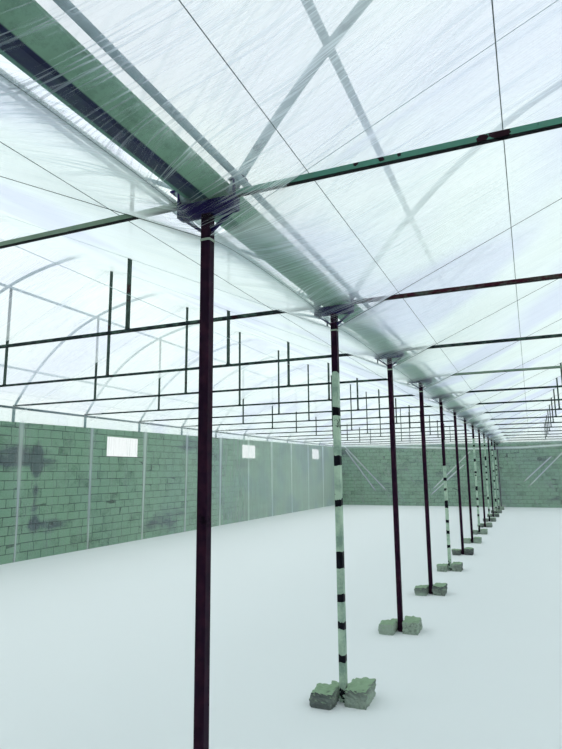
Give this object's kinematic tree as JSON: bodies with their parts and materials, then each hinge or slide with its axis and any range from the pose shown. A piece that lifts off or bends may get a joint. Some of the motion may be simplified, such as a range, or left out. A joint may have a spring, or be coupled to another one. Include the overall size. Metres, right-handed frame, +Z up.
{
  "type": "polytunnel greenhouse",
  "caption": "Gutter-connected twin-span polytunnel with block walls, arched pipe roof, tie beams, central posts and a tent-shaped polythene lining",
  "frame": {"origin": "centre of the plan at ground level, on the line of the valley posts", "axes": "+X to the right span, +Y along the house to the far end wall, +Z up"},
  "size_m": [15.896, 30.4212, 4.8754],
  "materials": {
    "masonry": "rough concrete block",
    "concrete": "broken concrete",
    "post_paint": "worn dark red paint",
    "tie_paint": "worn green paint with rust",
    "strut_paint": "worn grey-green paint",
    "saddle_paint": "dark paint",
    "arch_pipe": "dull grey pipe",
    "gutter_sheet": "grey-green sheet",
    "polythene": "cloudy translucent film",
    "wire": "dull wire",
    "cord": "plastic string"
  },
  "bodies": {
    "root": {"valley_posts": "post_paint", "post_pads": "concrete", "post_saddles": "saddle_paint", "valley_gutter": "gutter_sheet", "gutter_rails": "arch_pipe", "tie_beams_left": "tie_paint", "tie_beams_right": "tie_paint", "king_posts_left": "strut_paint", "king_posts_right": "strut_paint", "queen_posts_left": "strut_paint", "queen_posts_right": "strut_paint", "arches_left": "arch_pipe", "arches_right": "arch_pipe", "purlins_left": "arch_pipe", "purlins_right": "arch_pipe", "ridge_pipes": "arch_pipe", "eave_rails": "strut_paint", "wall_stubs": "strut_paint", "left_wall_piers": "masonry", "left_wall_panels": "masonry", "left_wall_heads": "masonry", "right_wall_piers": "masonry", "right_wall_panels": "masonry", "right_wall_heads": "masonry", "far_wall": "masonry", "near_wall": "masonry", "near_door_head": "masonry", "roof_film_left_inner": "polythene", "roof_film_left_outer": "polythene", "roof_film_right_inner": "polythene", "roof_film_right_outer": "polythene", "far_gable_films": "polythene", "near_gable_films": "polythene", "eave_skirt_films": "polythene", "lining_left_valley_slope": "polythene", "lining_left_eave_slope": "polythene", "lining_right_valley_slope": "polythene", "lining_right_eave_slope": "polythene", "wall_linings": "polythene", "far_lining": "polythene", "near_lining": "polythene", "near_lining_over_door": "polythene", "lining_wires": "wire", "lining_strings": "cord", "post_ties": "cord"}
  },
  "joints": []
}
